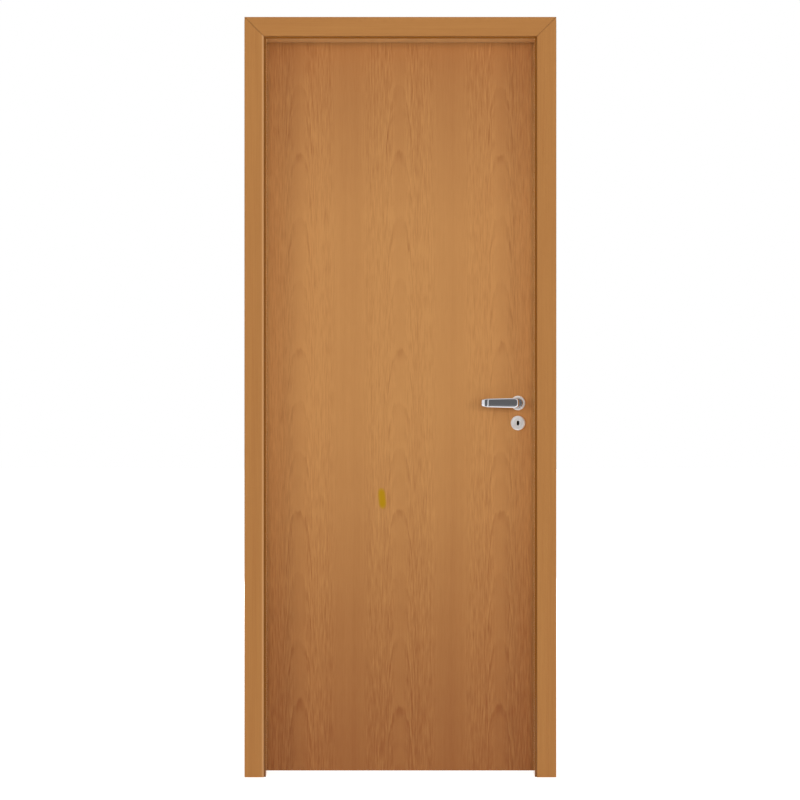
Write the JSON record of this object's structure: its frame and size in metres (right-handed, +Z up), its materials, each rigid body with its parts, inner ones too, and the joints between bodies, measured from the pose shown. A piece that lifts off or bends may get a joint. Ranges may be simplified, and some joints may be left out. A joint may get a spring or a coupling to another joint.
{
  "type": "flush hollow core door",
  "caption": "Flush hollow core door leaf hung on butt hinges in a rebated lining with mitred casings, round roses, a straight lever on each face and a keyed mortise lock",
  "frame": {"origin": "on the hinge jamb's wall face, at its foot and at the middle of the lining's depth; the floor is z = 0", "axes": "+X from the hinge side to the lock side, +Y the way the door opens, away from the front casings, +Z up"},
  "size_m": [0.899, 0.205, 2.163],
  "materials": {
    "casing_foil": "walnut coloured foil, satin, faint straight streaks",
    "lining_foil": "walnut coloured foil, satin",
    "veneer": "walnut veneer with upright cathedral figure, satin lacquer",
    "leaf_timber": "planed softwood and fibreboard edges",
    "core_paper": "brown paper honeycomb",
    "seal_rubber": "dark brown soft seal",
    "hinge_steel": "satin plated steel",
    "lock_steel": "satin steel",
    "satin_metal": "satin silver",
    "polished_chrome": "polished chrome"
  },
  "bodies": {
    "frame": {"hinge_jamb": "lining_foil", "lock_jamb": "lining_foil", "head_jamb": "lining_foil", "hinge_stop": "lining_foil", "lock_stop": "lining_foil", "head_stop": "lining_foil", "hinge_side_seal": "seal_rubber", "lock_side_seal": "seal_rubber", "head_seal": "seal_rubber", "front_hinge_casing": "casing_foil", "front_lock_casing": "casing_foil", "front_head_casing": "casing_foil", "back_hinge_casing": "casing_foil", "back_lock_casing": "casing_foil", "back_head_casing": "casing_foil", "top_hinge_jamb_plate": "hinge_steel", "middle_hinge_jamb_plate": "hinge_steel", "bottom_hinge_jamb_plate": "hinge_steel", "strike_plate": "lock_steel"},
    "leaf": {"front_skin": "veneer", "back_skin": "veneer", "hinge_stile": "leaf_timber", "lock_stile": "leaf_timber", "top_rail": "leaf_timber", "bottom_rail": "leaf_timber", "lock_block": "leaf_timber", "honeycomb_core": "core_paper", "top_hinge_door_plate": "hinge_steel", "middle_hinge_door_plate": "hinge_steel", "bottom_hinge_door_plate": "hinge_steel", "lock_case": "lock_steel", "latch_bolt": "lock_steel", "dead_bolt": "lock_steel", "front_rose": "satin_metal", "front_escutcheon": "satin_metal", "back_rose": "satin_metal", "back_escutcheon": "satin_metal"},
    "lever_set": {"front_lever": "polished_chrome", "back_lever": "polished_chrome", "spindle": "lock_steel"}
  },
  "joints": [
    {"name": "door_swing", "type": "hinge", "parent": "frame", "child": "leaf", "pos_m": [0.021, 0.077, 1.05], "axis": [0, 0, 1], "range_deg": [0, 170]},
    {"name": "lever_turn", "type": "hinge", "parent": "leaf", "child": "lever_set", "pos_m": [0.754, 0.0525, 1.061], "axis": [0, -1, 0], "range_deg": [0, 40], "stiffness_Nm_per_rad": 1.2, "springref_deg": -28.65}
  ]
}
